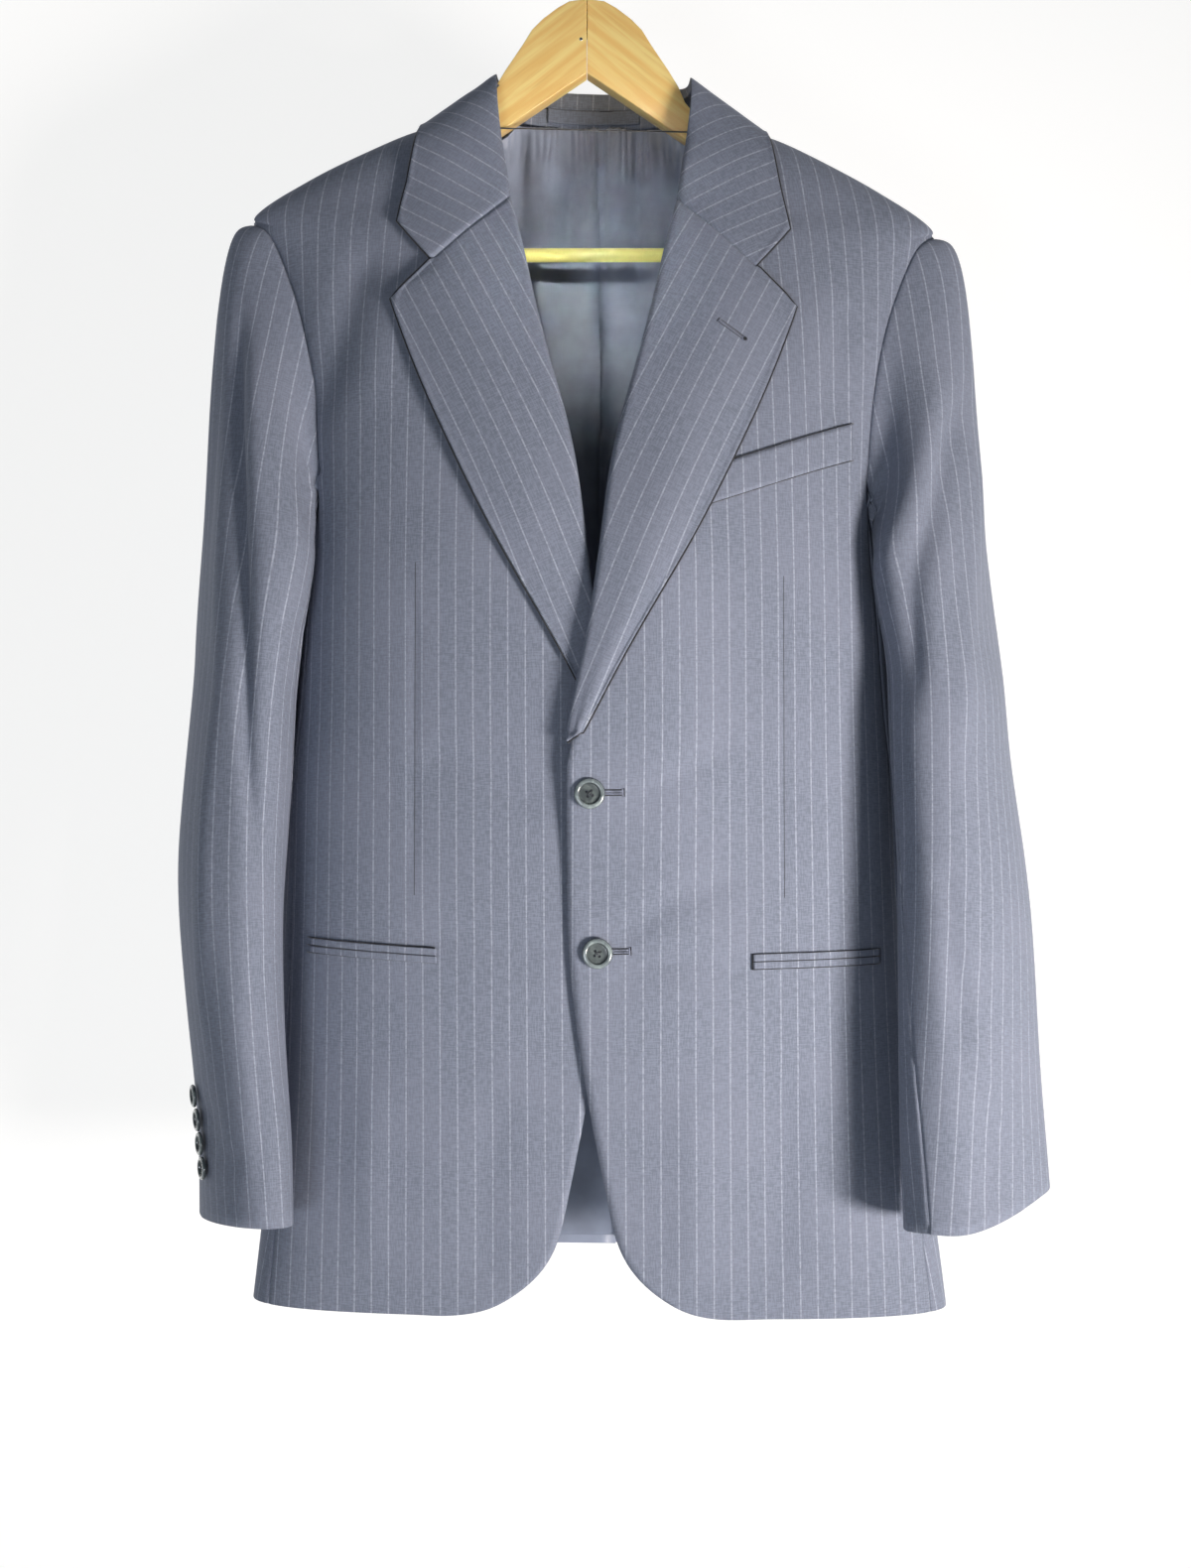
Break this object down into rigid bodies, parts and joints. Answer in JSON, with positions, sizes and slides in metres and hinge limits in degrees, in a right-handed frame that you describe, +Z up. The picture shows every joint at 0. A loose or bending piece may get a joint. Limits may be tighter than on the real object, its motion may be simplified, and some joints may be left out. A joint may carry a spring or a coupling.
{
  "type": "suit jacket on a wooden hanger",
  "caption": "Buttoned notch-lapel pinstripe suit jacket hanging on a wooden hanger with a trouser bar.",
  "frame": {"origin": "inside top of the hanger's hook, where it rests on a rail", "axes": "+X towards the jacket's own left sleeve, -Y out of its front, +Z up"},
  "size_m": [0.5761, 0.1907, 0.9626],
  "materials": {
    "suiting": "fine matt worsted, slate blue-grey with pale pinstripes",
    "lining": "satin",
    "button": "polished, dark slate",
    "hanger_wood": "clear lacquer",
    "bar_wood": "yellow lacquer",
    "hook_steel": "bright plated"
  },
  "bodies": {
    "root": {"back_left": "suiting", "back_right": "suiting", "button_front_1": "button", "button_front_2": "button", "button_sleeve_left_1": "button", "button_sleeve_left_2": "button", "button_sleeve_left_3": "button", "button_sleeve_left_4": "button", "button_sleeve_right_1": "button", "button_sleeve_right_2": "button", "button_sleeve_right_3": "button", "button_sleeve_right_4": "button", "chest_welt": "suiting", "collar": "suiting", "front_left": "suiting", "front_right": "suiting", "hanger_arm_left": "hanger_wood", "hanger_arm_right": "hanger_wood", "hanger_hook": "hook_steel", "hanging_loop": "suiting", "lapel_left": "suiting", "lapel_right": "suiting", "lining_back_left": "lining", "lining_back_right": "lining", "neck_facing": "suiting", "pocket_jet_lower_left": "suiting", "pocket_jet_lower_right": "suiting", "pocket_jet_upper_left": "suiting", "pocket_jet_upper_right": "suiting", "side_left": "suiting", "side_right": "suiting", "top_sleeve_left": "suiting", "top_sleeve_right": "suiting", "trouser_bar": "bar_wood", "under_sleeve_left": "suiting", "under_sleeve_right": "suiting"}
  },
  "joints": []
}
